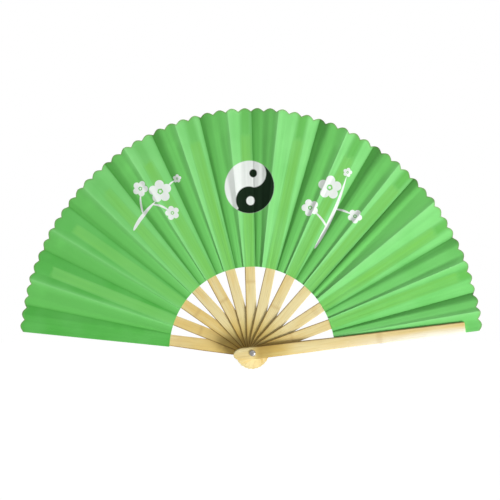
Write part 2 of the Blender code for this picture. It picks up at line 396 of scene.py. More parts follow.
# Bamboo
bamboo = {
    "pale": (0.87, 0.75, 0.395),
    "warm": (0.80, 0.59, 0.205),
    "paintedLightPale": (0.95, 0.93, 0.81),
    "fibre": (0.60, 0.45, 0.17),
    "vessel": (0.40, 0.26, 0.09),
    # a dark brown, for dirt and for painted shade near the rivet and along the left edges
    "brownDirtAndShade": (0.25, 0.125, 0.014),
    "nearRivetShadeTint": (1.0, 0.95, 0.62),  # painted warm shade: deepens the colour near the rivet
    "knuckle": (0.56, 0.37, 0.13),
    "cover": {"fibre": 0.35, "vessel": 0.4, "knuckle": 0.45, "seam": 0.8, "leftEdgeShade": 0.85},
    "roughness": (0.22, 0.36),
    "coatRoughness": 0.35,
    "handlingScale": 28.0,
    "driftShare": 1.8,
    "streakEdge": (0.42, 0.72),
    "vesselDepth": 0.6,
    "grainBump": (0.35, 0.0002),
    "toneShares": [0.90, 0.85, 0.75, 0.35, 0.55, 0.35, 0.40, 0.35, 0.40, 0.20, 0.15, 0.55, 0.60],
    "seamReach": (0.066, 0.022),  # the edges darken from the first place to the second, as dark joints with painted shade between the sticks
    "seamEdge": (0.86, 1.0),
    "leftShadeEdge": (0.82, 0.91),  # painted shade: each stick gets a darker strip along its left edge, the side turned from the light
    "grimeAndShade": (0.20, 0.36),
    "grimeAndShadeReach": (0.060, 0.014),
    "headReach": (-0.003, 0.012),  # the dirt and the painted shade near the rivet stop short of the heads below these places
    "paintedLightReach": (0.06, 0.28),  # painted light: a guard pales between these places
    "paintedLightEdge": (0.6, -0.8),
}


def makeBamboo(name, specular, coat, paintedLightShare):
    made, tree, shader = newMaterial(name)
    cover = bamboo["cover"]
    place = addNode(tree, "TexCoord").outputs["Object"]
    across, tone, knuckle = splitUp(markOn(tree, "stickMarks"))
    along = splitUp(place)[0]
    fibre = useGroup(fibreGroup, place, tone)
    wear = useGroup(wearGroup, place, bamboo["handlingScale"])
    least = minus(tone, bamboo["driftShare"] / 2)
    drift = timesPlus(fibre["Drift"], bamboo["driftShare"], least)
    colour = blendColour(softEdge(drift, 0.0, 1.0), bamboo["pale"], bamboo["warm"])
    # painted light: the guard is paler towards one long edge
    paintedLightMask = product(softEdge(along, *bamboo["paintedLightReach"]), paintedLightShare)
    lower = softEdge(across, *bamboo["paintedLightEdge"])
    colour = layer(colour, bamboo["paintedLightPale"], paintedLightMask, lower)
    streak = softEdge(fibre["Fibre"], *bamboo["streakEdge"])
    for key, share in (("fibre", streak), ("vessel", fibre["Vessel"]), ("knuckle", knuckle)):
        colour = layer(colour, bamboo[key], share, cover[key])
    body = softEdge(along, *bamboo["headReach"])
    # painted shade: a warm, darker tint near the rivet, stopping short of the heads
    near = product(softEdge(along, *bamboo["seamReach"]), body)
    colour = blendColour(near, colour, bamboo["nearRivetShadeTint"], "MULTIPLY")
    # dark joints near the rivet, partly painted shade where the sticks overlap
    seam = softEdge(calc("ABSOLUTE", across), *bamboo["seamEdge"])
    colour = layer(colour, bamboo["brownDirtAndShade"], seam, near, cover["seam"])
    # painted shade along each stick's left edge
    leftEdgeShade = softEdge(across, *bamboo["leftShadeEdge"])
    colour = layer(colour, bamboo["brownDirtAndShade"], leftEdgeShade, cover["leftEdgeShade"], body)
    # darker in patches near the rivet: handling dirt, partly painted shade around the head
    held = softEdge(along, *bamboo["grimeAndShadeReach"])
    handled = timesPlus(wear["Patch"], *bamboo["grimeAndShade"])
    colour = layer(colour, bamboo["brownDirtAndShade"], held, body, handled)
    height = minus(fibre["Fibre"], product(fibre["Vessel"], bamboo["vesselDepth"]))
    inputs = {
        "Base Color": colour,
        "Roughness": timesPlus(wear["Cloud"], *bamboo["roughness"]),
        "Normal": bumpOn(height, *bamboo["grainBump"]),
        "Specular IOR Level": specular,
        "Coat Weight": coat,
        "Coat Roughness": bamboo["coatRoughness"],
    }
    feedAll(shader, inputs)
    return made


ribBamboo = makeBamboo("ribBamboo", specular=0.30, coat=0.0, paintedLightShare=0.0)
guardBamboo = makeBamboo("guardBamboo", specular=0.40, coat=0.10, paintedLightShare=1.0)

ribForm = {
    "frontCorner": 0.00022,
    "backCorner": 0.00022,
    "crown": 0.00005,
    "mostCorner": (0.45, 0.4),  # in shares of the half width and of the thickness
    "mostCrown": 0.06,
    "stationGap": 0.004,
    "fullShare": 0.999,  # from here a handle counts as having its full width
    "noseSteps": 10,
    "noseTurn": math.radians(84),
    "tipSteps": 4,
    "faceSteps": 6,
    "cornerSteps": 3,
    "sharp": 38,
    "waver": 0.00010,  # how far an edge strays
    "leastHalf": 0.002,
    "sway": (26, 3.7, 0.5),  # its pace along the stick, its step to the next stick, its seed
    "pinch": (40, 5.3, 7.5),
    "knuckleHeight": 0.00007,
    "knuckleReach": 0.0022,
    "boreSides": 40,
    "boreReach": 0.05,
}
guardForm = dict(
    ribForm,
    frontCorner=0.0011,
    backCorner=0.0003,
    crown=0.00055,
    waver=0.00006,
    knuckleHeight=0.00012,
    knuckleReach=0.0030,
)
knucklePlaces = [0.148, 0.078, 0.094, 0.236, 0.082, 0.205, 0.099, 0.262, 0.070, 0.187, 0.104, 0.058, 0.176]


def ringAt(rings, column, along):
    return float(np.interp(along, rings[:, 0], rings[:, column]))


def stickStations(stick, form):
    # places along a stick and its half width there, with its nose and tip rounded
    rings = stick["rings"]
    full = rings[:, 1].max()
    noseEnd = rings[np.argmax(rings[:, 1] > full * form["fullShare"]), 0]
    nose = noseEnd - rings[0, 0]
    stations = []
    for step in range(form["noseSteps"]):
        turn = form["noseTurn"] * (1 - step / form["noseSteps"])
        stations.append((noseEnd - nose * math.sin(turn), full * math.cos(turn)))
    tip = rings[-1, 0]
    corner = tip - rings[-2, 0]
    straight = tip - corner - noseEnd
    count = math.ceil(straight / form["stationGap"])
    for step in range(count + 1):
        along = noseEnd + straight * step / count
        stations.append((along, ringAt(rings, 1, along)))
    for step in range(1, form["tipSteps"] + 1):
        turn = math.pi / 2 * step / form["tipSteps"]
        half = rings[-2, 1] - corner * (1 - math.cos(turn))
        stations.append((tip - corner + corner * math.sin(turn), half))
    return stations


def facePoints(half, level, inward, corner, lift, form):
    # a face and its two round corners, from side to side, as y and across
    base = level + inward * (lift * ((half - corner) / half) ** 2 + corner)
    turns = [math.pi / 2 * step / form["cornerSteps"] for step in range(form["cornerSteps"] - 1, 0, -1)]
    bend = [(level + inward * (lift + corner), half)]
    for turn in turns:
        bend.append((base - inward * corner * math.cos(turn), half - corner + corner * math.sin(turn)))
    face = []
    for step in range(form["faceSteps"] + 1):
        across = (half - corner) * (1 - 2 * step / form["faceSteps"])
        face.append((level + inward * lift * (across / half) ** 2, across))
    return bend + face + [(y, -across) for y, across in reversed(bend)]


def sectionOf(half, front, back, form, flip):
    # points round a stick's section. The crowned face looks outwards.
    wide, deep = form["mostCorner"]
    most = min(half * wide, (back - front) * deep)
    crown = min(form["crown"], half * form["mostCrown"])
    outer, inner, inward = (back, front, -1) if flip else (front, back, 1)
    points = facePoints(half, outer, inward, min(form["frontCorner"], most), crown, form)
    under = facePoints(half, inner, -inward, min(form["backCorner"], most), 0.0, form)
    first = form["cornerSteps"]  # the outer face's first point
    return points[first:] + [(y, -across) for y, across in under] + points[:first]


def circleAt(radius, y, sides):
    # points about the rivet's axis, or one point on it
    turns = [math.tau * k / sides for k in range(sides if radius > 0 else 1)]
    return [(radius * math.cos(turn), y, radius * math.sin(turn)) for turn in turns]


def joinLoops(name, loops, closed=False):
    # a solid through loops of points. Its ends are filled, or joined if it is closed.
    bm = bmesh.new()
    rings = [[bm.verts.new(point) for point in loop] for loop in loops]
    for near, far in zip(rings, rings[1:] + (rings[:1] if closed else [])):
        for k in range(max(len(near), len(far))):
            places = (near, k - 1), (near, k), (far, k), (far, k - 1)
            corners = [ring[place % len(ring)] for ring, place in places]
            bm.faces.new(list(dict.fromkeys(corners)))
    for ring in (rings[0][::-1], rings[-1]):
        if len(ring) > 1 and not closed:
            bm.faces.new(ring)
    bmesh.ops.recalc_face_normals(bm, faces=bm.faces)
    mesh = bpy.data.meshes.new(name)
    bm.to_mesh(mesh)
    bm.free()
    return mesh


def cutBore(thing, radius, form):
    ends = -form["boreReach"], form["boreReach"]
    loops = [circleAt(radius, y, form["boreSides"]) for y in ends]
    guide = addObject("boreGuide", joinLoops("boreGuide", loops))
    cut = thing.modifiers.new("bore", "BOOLEAN")
    cut.object = guide
    cut.operation = "DIFFERENCE"
    cut.solver = "EXACT"
    bpy.context.view_layer.update()
    evaluated = thing.evaluated_get(bpy.context.evaluated_depsgraph_get())
    made = bpy.data.meshes.new_from_object(evaluated)
    thing.modifiers.clear()
    thing.data = made
    bpy.data.objects.remove(guide, do_unlink=True)


def setMarks(mesh, name, values):
    marks = mesh.attributes.new(name, "FLOAT_VECTOR", "POINT")
    marks.data.foreach_set("vector", np.asarray(values, np.float32).ravel())


def dress(mesh, materials, sharpAngle):
    mesh.materials.clear()
    for material in materials:
        mesh.materials.append(material)
    mesh.shade_smooth()
    mesh.set_sharp_from_angle(angle=math.radians(sharpAngle))


def strayAt(along, number, pace, step, seed):
    return noise.noise(Vector((along * pace, number * step, seed)))


def makeStick(stick, form, material):
    number = stick["number"]
    flip = number == 0
    knuckle = knucklePlaces[number]
    stations = stickStations(stick, form)
    loops = []
    for along, half in stations:
        front, back = [ringAt(stick["rings"], column, along) for column in (2, 3)]
        lift = form["knuckleHeight"] * math.exp(-(((along - knuckle) / form["knuckleReach"]) ** 2))
        front, back = (front, back + lift) if flip else (front - lift, back)
        sway = form["waver"] * strayAt(along, number, *form["sway"])
        pinch = form["waver"] * strayAt(along, number, *form["pinch"])
        widened = 1 + pinch / max(half, form["leastHalf"])
        section = sectionOf(half, front, back, form, flip)
        loops.append([(along, y, across * widened + sway) for y, across in section])
    name = stick["node"] + "_bamboo"
    thing = addObject(name, joinLoops(name, loops))
    cutBore(thing, stick["bore"], form)
    points = np.array([vertex.co[:] for vertex in thing.data.vertices])
    halves = np.interp(points[:, 0], *np.array(stations).T)
    bulges = np.exp(-(((points[:, 0] - knuckle) / form["knuckleReach"]) ** 2))
    tones = np.full(len(points), bamboo["toneShares"][number])
    setMarks(thing.data, "stickMarks", np.stack([points[:, 2] / halves, tones, bulges], axis=-1))
    dress(thing.data, [material], form["sharp"])
    thing.rotation_euler = (0, -math.radians(stick["angle"]), 0)
    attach(thing, stick["body"])
    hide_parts(stick["node"])


for stick in sticks:
    makeStick(stick, *((guardForm, guardBamboo) if stick["isGuard"] else (ribForm, ribBamboo)))
print("bamboo: made", len(sticks), "sticks")


# Leaf: where its edges run and how it folds
leaf = {
    "inner": (0.1190, 0.985, 0.957),  # an edge's reach, and shares of it at its left and right end
    "outer": (0.340, 0.965, 0.938),
    "scallops": 56,
    "scallopDepth": 0.0045,
    "pointsPerScallop": 8,
    "thickness": 0.00025,
    "glueMargin": 0.0006,
    "gluedShare": 0.98,  # of a stick's half width
    "tiltSlope": math.tan(math.radians(13)),
    "rows": 50,
    "edgeRows": 8,
    "edgeShare": 0.955,
    "rimShare": 1.03,  # its width at the rim over its width where the scallops start
    "sharp": 60,
    "foldRound": 0.0009,
    "creaseRound": 0.0008,
    "pleatRound": 0.0012,
    "behindRibShare": 0.17,  # how near the panel behind it a pleat lies where a rib crosses it
    "behindMargin": 0.0002,
    "leastClimb": 0.0005,
    "pastRib": 0.012,
    "wrinkles": [(0.00030, 0.42, 13, 3.1), (0.00005, 1.9, 9, 8.4)],  # height, pace round and out, seed
    "rimCurl": (0.0008, 0.30, 22, 15.7),
    "curlStart": 0.95,  # in shares of the ribs' reach
    "curlRun": 0.05,
    "freeBeside": (0.0005, 0.006),  # how far beside a rib the cloth starts to wrinkle, and is free
    "freeBesideGuard": (0.001, 0.006),
    "freePleat": (0.0002, 0.006),  # folded up, a pleat has no room for wrinkles behind the rib
    "freePastTip": (0.002, 0.016),
    "rimLine": 0.0010,
    "ridgeReach": 0.0028,
    "valleyReach": 0.0016,
    "guardMark": 9.0,  # stands for a stick that doesn't show through the cloth
    "pleatMark": 20.0,  # added to a pleat's share from fold to fold, to tell it from a panel
}


def cutReach(edge, angle):
    top, left, right = leaf[edge]
    side = np.cos(np.radians(angle))
    return top * (1 - (1 - np.where(side > 0, right, left)) * side * side)


def readPanel(stick):
    # the two folds of a panel, as angles at the leaf's inner and outer edges, and its level
    points, reach = nodePoints(stick["panel"])
    angle = np.degrees(np.arctan2(points[:, 2], points[:, 0]))
    inner = reach < (reach.min() + reach.max()) / 2
    across = reach * np.sin(np.radians(angle - stick["angle"]))
    glued = abs(across) < stick["rings"][-2, 1] * leaf["gluedShare"]
    stick["left"] = (angle[inner].max(), angle[~inner].max())
    stick["right"] = (angle[inner].min(), angle[~inner].min())
    stick["level"] = (points[glued, 1].min() + points[glued, 1].max()) / 2


for stick in sticks:
    readPanel(stick)
leafLeft = sticks[0]["left"][1]
leafRight = sticks[lastStick]["right"][1]
scallopAngle = (leafLeft - leafRight) / leaf["scallops"]
ribReach = sticks[1]["rings"][-1, 0]
print("leaf: from", round(leafLeft, 2), "to", round(leafRight, 2), "degrees")


def soften(value, low, high):
    share = np.clip((value - low) / (high - low), 0, 1)
    return share * share * (3 - 2 * share)


def stickHalf(stick, reach):
    rings = stick["rings"][stick["rings"][:, 0] > 0]
    if stick["isGuard"]:
        return np.full_like(reach, rings[2:, 1].max())
    start, end = rings[-3], rings[-2]
    return start[1] + (end[1] - start[1]) * (reach - start[0]) / (end[0] - start[0])


def riseBeside(stick, reach, across, bend):
    # how far the cloth comes towards the viewer beside its stick
    half = stickHalf(stick, reach) + leaf["glueMargin"]
    past = abs(across) - half
    ramp = (past + np.sqrt(past * past + bend * bend)) / 2
    rest = (np.sqrt(half * half + bend * bend) - half) / 2
    height = np.sign(across) * np.maximum(ramp - rest, 0) * leaf["tiltSlope"]
    if stick["number"] == 0:
        height = np.where(across > 0, 0, height)
    if stick["number"] == lastStick:
        height = np.where(across < 0, 0, height)
    return height


def waveAt(reach, angle, height, around, outwards, seed):
    return height * noise.noise(Vector((angle * around, reach * outwards, seed)))


def wrinkleAt(reach, angle):
    value = np.empty_like(reach)
    for index in np.ndindex(reach.shape):
        place = reach[index], angle[index]
        atRim = min(max(0.0, (place[0] - ribReach * leaf["curlStart"]) / leaf["curlRun"]), 1)
        value[index] = sum(waveAt(*place, *wrinkle) for wrinkle in leaf["wrinkles"])
        value[index] += waveAt(*place, *leaf["rimCurl"]) * atRim
    return value


def freeCloth(stick, reach, across, edges):
    # where the cloth is free to wrinkle: beside a stick, and past the ribs' tips
    low, high = leaf["freePastTip"]
    beside = soften(abs(across) - stickHalf(stick, reach), *edges)
    return np.maximum(beside, soften(reach, ribReach + low, ribReach + high))


def edgeAngles(high, low):
    # directions along the scalloped edge, with every notch among them
    step = scallopAngle / leaf["pointsPerScallop"]
    least = step / 3
    angles = [high]
    number = math.floor((high - leafRight) / step)
    while leafRight + number * step > low + least:
        if leafRight + number * step < high - least:
            angles.append(leafRight + number * step)
        number -= 1
    return angles + [low]


def columnsBetween(lines):
    # columns across a strip of leaf, through its lines, as inner angle and outer angle
    columns = []
    for left, right in zip(lines, lines[1:]):
        for outer in edgeAngles(left[1], right[1])[1 if columns else 0 :]:
            share = (left[1] - outer) / (left[1] - right[1])
            columns.append((left[0] + share * (right[0] - left[0]), outer))
    return np.array(columns)


def rowShares():
    body = np.linspace(0, leaf["edgeShare"], leaf["rows"])
    edge = np.linspace(leaf["edgeShare"], 1, leaf["edgeRows"] + 1)[1:]
    return np.concatenate([body, edge])


def leafPlan(columns):
    # x, z, reach and angle over a grid of rows and columns, along straight lines from edge to edge
    rows = rowShares()[:, None]
    inner, outer = np.radians(columns[:, 0]), np.radians(columns[:, 1])
    nearReach = cutReach("inner", columns[:, 0])
    farReach = cutReach("outer", columns[:, 1])
    x = nearReach * np.cos(inner) * (1 - rows) + farReach * np.cos(outer) * rows
    z = nearReach * np.sin(inner) * (1 - rows) + farReach * np.sin(outer) * rows
    wave = abs(np.sin(np.pi * (columns[:, 1] - leafRight) / scallopAngle))
    notch = leaf["scallopDepth"] * (1 - wave) * soften(rows, leaf["edgeShare"], 1)
    kept = 1 - notch / np.hypot(x, z)
    x, z = x * kept, z * kept
    return x, z, np.hypot(x, z), np.degrees(np.arctan2(z, x))


def foldPaths(reach, angle):
    # how far each point lies from the left and the right fold
    return [reach * np.radians(abs(angle - fold)) for fold in (angle[:, :1], angle[:, -1:])]


def foldDip(distance):
    # rounds a fold: how far the cloth stays back from the sharp line
    bend = leaf["foldRound"]
    return leaf["tiltSlope"] * (np.sqrt(distance * distance + bend * bend) - distance)


def meshFromGrid(name, grid, marks):
    # the front and the back of a grid of points, with an edge round both
    count = grid.shape[0] * grid.shape[1]
    at = np.arange(count).reshape(grid.shape[:2])
    lift = np.array((0, leaf["thickness"] / 2, 0))
    points = np.concatenate([(grid - lift).reshape(-1, 3), (grid + lift).reshape(-1, 3)])
    front = np.stack([at[:-1, :-1], at[:-1, 1:], at[1:, 1:], at[1:, :-1]], axis=-1).reshape(-1, 4)
    faces = np.stack([front, front[:, ::-1] + count], axis=1).reshape(-1, 4)
    rim = np.concatenate([at[0], at[1:, -1], at[-1, -2::-1], at[-2:0:-1, 0]])
    after = np.roll(rim, -1)
    edge = np.stack([rim, rim + count, after + count, after], axis=-1)
    mesh = bpy.data.meshes.new(name)
    mesh.from_pydata(points.tolist(), [], np.concatenate([faces, edge]).tolist())
    reach = np.hypot(grid[..., 0], grid[..., 2])
    nearRim = np.exp((reach - reach[-1:]) / leaf["rimLine"])
    places = grid[..., 0], grid[..., 2], nearRim
    for label, values in (("leafPlace", places), ("leafMarks", marks)):
        setMarks(mesh, label, np.tile(np.stack(values, axis=-1).reshape(-1, 3), (2, 1)))
    dress(mesh, leafSides, leaf["sharp"])
    mesh.polygons.foreach_set("material_index", [0, 1] * len(front) + [0] * len(edge))
    return addObject(name, mesh)


def makePanel(stick):
    number = stick["number"]
    ends = np.array([cutReach(edge, stick["angle"]) for edge in ("inner", "outer")])
    turns = np.degrees(np.arcsin((stickHalf(stick, ends) + leaf["glueMargin"]) / ends))
    lines = [stick["left"]]
    if number > 0:
        lines.append(tuple(stick["angle"] + turns))
    if number < lastStick:
        lines.append(tuple(stick["angle"] - turns))
    lines.append(stick["right"])
    x, z, reach, angle = leafPlan(columnsBetween(lines))
    across = reach * np.sin(np.radians(angle - stick["angle"]))
    wide = stickHalf(stick, reach)
    y = stick["level"] - riseBeside(stick, reach, across, leaf["creaseRound"])
    toLeft, toRight = foldPaths(reach, angle)
    ridge = valley = 0 * reach
    if number > 0:
        y += foldDip(toLeft)
        ridge = np.exp(-toLeft / leaf["ridgeReach"])
    if number < lastStick:
        y -= foldDip(toRight)
        valley = np.exp(-toRight / leaf["valleyReach"])
    free, overRib = freeCloth(stick, reach, across, leaf["freeBeside"]), abs(across) / wide
    if stick["isGuard"]:
        free = soften(abs(across) - wide, *leaf["freeBesideGuard"])
        overRib = np.full_like(reach, leaf["guardMark"])
    y += wrinkleAt(reach, angle) * free
    grid = np.stack([x, y, z], axis=-1)
    thing = meshFromGrid(stick["panel"] + "_cloth", grid, (overRib, ridge, valley))
    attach(thing, stick["body"])
    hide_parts(stick["panel"])
    return {"left": y[:, 0], "right": y[:, -1]}


def makePleat(left, right, leftY, rightY):
    # the free cloth between two panels. Folded up, it lies between them, behind the right one's rib.
    name = f"pleat_{right['number']:02d}"
    columns = columnsBetween([left["right"], right["left"]])
    x, z, reach, angle = leafPlan(columns)
    share = (columns[:, 1] - columns[0, 1]) / (columns[-1, 1] - columns[0, 1])
    share = np.tile(share, (len(x), 1))
    leftFold = left["angle"] - angle[:, :1]
    rightFold = angle[:, -1:] - right["angle"]
    across = reach * np.sin(np.radians(share * (leftFold + rightFold) - leftFold))
    bend = leaf["pleatRound"]
    rise = (1 - share) * riseBeside(left, reach, across, bend)
    rise += share * riseBeside(right, reach, across, bend)
    climb = share
    if right["number"] < lastStick:
        # held down behind the rib, it makes up its height between the rib's edge and the ridge
        startReach = reach * np.sin(np.radians(leftFold))
        endReach = reach * np.sin(np.radians(rightFold))
        edge = stickHalf(right, reach) + leaf["behindMargin"]
        behind = leaf["behindRibShare"]
        early = behind * soften(across, -startReach, -edge)
        run = np.maximum(endReach - edge, leaf["leastClimb"])
        late = (1 - behind) * np.clip((across - edge) / run, 0, 1)
        past = soften(reach, ribReach, ribReach + leaf["pastRib"])
        climb = (early + late) * (1 - past) + share * past
    y = left["level"] + climb * (right["level"] - left["level"]) - rise
    toLeft, toRight = foldPaths(reach, angle)
    y += foldDip(toRight) - foldDip(toLeft)
    y += wrinkleAt(reach, angle) * freeCloth(right, reach, across, leaf["freePleat"])
    y += (leftY - y[:, 0])[:, None] * (1 - share) + (rightY - y[:, -1])[:, None] * share
    ridge = np.exp(-toRight / leaf["ridgeReach"])
    valley = np.exp(-toLeft / leaf["valleyReach"])
    grid = np.stack([x, y, z], axis=-1)
    thing = meshFromGrid(name + "_cloth", grid, (leaf["pleatMark"] + share, ridge, valley))
    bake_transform(thing)
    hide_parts(name)


# The print on the leaf. Places are in metres from the rivet, as the front shows them.
printed = {
    "discX": -0.0045,
    "discZ": 0.2300,
    "discWide": 0.0344,  # half its width
    "discHigh": 0.0366,
    "disc": (0.0, 0.0, 1.0),  # this and the next four: centre and radius, the disc's own being 1
    "upperLobe": (0.155, 0.505, 0.52),
    "lowerLobe": (-0.02, -0.50, 0.52),
    "upperDot": (0.155, 0.52, 0.155),
    "lowerDot": (0.046, -0.524, 0.17),
    "leanX": 0.40,
    "leanZ": -0.22,
    "leanEdge": 0.01,
    "soft": 0.02,
}
# Each twig runs from its first place to its second, with a width and a bow to its left.
twigs = [
    (-0.1665, 0.1695, -0.1345, 0.2110, 0.0066, 0.010),
    (-0.1190, 0.2300, -0.1080, 0.2400, 0.0036, 0.004),
    (-0.1530, 0.1925, -0.1560, 0.2240, 0.0040, 0.008),
    (-0.1400, 0.2060, -0.1140, 0.1950, 0.0040, 0.010),
    (0.0860, 0.1440, 0.1310, 0.2460, 0.0064, -0.016),
    (0.1040, 0.1720, 0.0830, 0.1980, 0.0040, -0.008),
    (0.1160, 0.1990, 0.1400, 0.1900, 0.0040, 0.006),
]
# Each blossom has its place, its reach and its turn.
blossoms = [
    (-0.1290, 0.2240, 0.0160, 10.0),
    (-0.1570, 0.2280, 0.0110, 40.0),
    (-0.1120, 0.1940, 0.0100, 0.0),
    (-0.1055, 0.2420, 0.0060, 20.0),
    (0.1070, 0.2290, 0.0165, 25.0),
    (0.0800, 0.2010, 0.0120, 0.0),
    (0.1420, 0.1890, 0.0100, 55.0),
    (0.1320, 0.2500, 0.0065, 35.0),
]


def circleMask(x, z, centreX, centreZ, radius):
    away = spanOf(minus(x, centreX), minus(z, centreZ))
    return softEdge(away, radius + printed["soft"], radius - printed["soft"])


def discMasks(place):
    # where the disc is, and where it is dark
    offX, offZ = placeFrom(place, printed["discX"], printed["discZ"])
    x, z = calc("DIVIDE", offX, printed["discWide"]), calc("DIVIDE", offZ, printed["discHigh"])
    lean = timesPlus(x, printed["leanX"], product(z, printed["leanZ"]))
    darkSide = softEdge(lean, -printed["leanEdge"], printed["leanEdge"])
    names = ("disc", "upperLobe", "lowerLobe", "upperDot", "lowerDot")
    disc, upper, lower, upperDot, lowerDot = [circleMask(x, z, *printed[name]) for name in names]
    dark = highest(product(darkSide, minus(1.0, upper)), lower, upperDot)
    return disc, product(dark, minus(1.0, lowerDot))


def paintMask(place):
    masks = []
    for x, z, endX, endZ, width, bow in twigs:
        angle = math.degrees(math.atan2(endZ - z, endX - x))
        length = math.hypot(endX - x, endZ - z)
        masks.append(useGroup(strokeGroup, place, x, z, angle, length, width, bow)["Mask"])
    for blossom in blossoms:
        masks.append(useGroup(blossomGroup, place, *blossom)["Mask"])
    return highest(*masks)


# Cloth
def inRadians(*degrees):
    return [math.radians(degree) for degree in degrees]


cloth = {
    "green": (0.240, 0.695, 0.215),
    "deepAndShadedGreen": (0.104, 0.500, 0.082),
    "pleatShadeGreen": (0.155, 0.570, 0.122),
    "creaseShadeGreen": (0.095, 0.500, 0.060),
    "overRib": (0.212, 0.625, 0.105),
    "ribEdge": (0.130, 0.480, 0.080),
    "tipHollowShade": (0.135, 0.530, 0.085),  # painted shade, in the hollows past the ribs' tips
    # a pale mint: painted highlight along the ridges, and the paler cloth over the ribs at the left end
    "paleAndHighlight": (0.340, 0.840, 0.320),
    # painted shade in the valleys
    "valley": (0.045, 0.300, 0.030),
    "white": (0.90, 0.92, 0.91),
    "ink": (0.004, 0.015, 0.005),
    "rim": (0.230, 0.220, 0.110),
    "cover": {"crease": 0.3, "pale": 0.17, "ribEdge": 0.4, "paleAndHighlight": 0.45, "valley": 0.45, "rim": 0.8},
    "pleatShadeCover": (-0.5, 0.88),  # this and the next three: how fast it changes and where it starts
    "ribCover": (-0.35, 1.0),
    "printCover": (0.10, 0.88),
    "roughness": (0.2, 0.60),
    "threads": 18000.0,
    "ripple": 0.0007,  # height of the soft folds that run out from the rivet
    "ripples": ((34.0, 4.0, 1.0), 1.5),
    "streaks": (60.0, 9.0, 1.0),
    "looseness": ((8.0, 14.0, 1.0), 1.0),
    "slubShare": 0.1,
    "weaveBump": (0.25, 0.00002),
    "specular": 0.10,
    "handlingScale": 22.0,
    "patchShare": 0.2,
    "leftEnd": inRadians(122, 156),  # the leaf's left end, painted in darker shade
    "rightEnd": inRadians(46, 22),
    "endShadeShares": (0.8, 0.35),  # painted shade at the left and the right end
    "plainShares": (0.85, 0.6),  # how far the pleats there lack their steeper side
    "hollows": inRadians(150, 70),
    "hollowShare": (0.5, 0.5),
    "hollowEdge": (1.30, 0.35),  # this and the next four are in shares of a rib's half width
    "ribFade": (1.26, 0.66),
    "stray": 0.5,
    "outlineInside": (0.90, 1.00),
    "outlineOutside": (1.00, 1.12),
    "streakShare": 0.75,
    "looseShare": (0.9, -0.20),
    "tipLine": (0.012, 0.2970),  # the ribs show through the cloth up to here
    "tipEdge": (-0.0040, 0.0045),
    "creaseShare": 0.45,  # how far a pleat's steeper side runs from its valley
    "creaseStart": 0.06,
    "crestShare": 0.55,  # from here to its ridge it flattens
    "crestDrop": -0.35,
    "creaseRise": 0.0145,  # its height over its reach from the rivet
    "widePleat": (inRadians(51, 48), inRadians(31, 38)),  # one wide pleat bellies out more
    "belly": ((-0.10, 0.35), (0.15, 0.95)),
    "bellyRise": (0.35, -1.20),
}


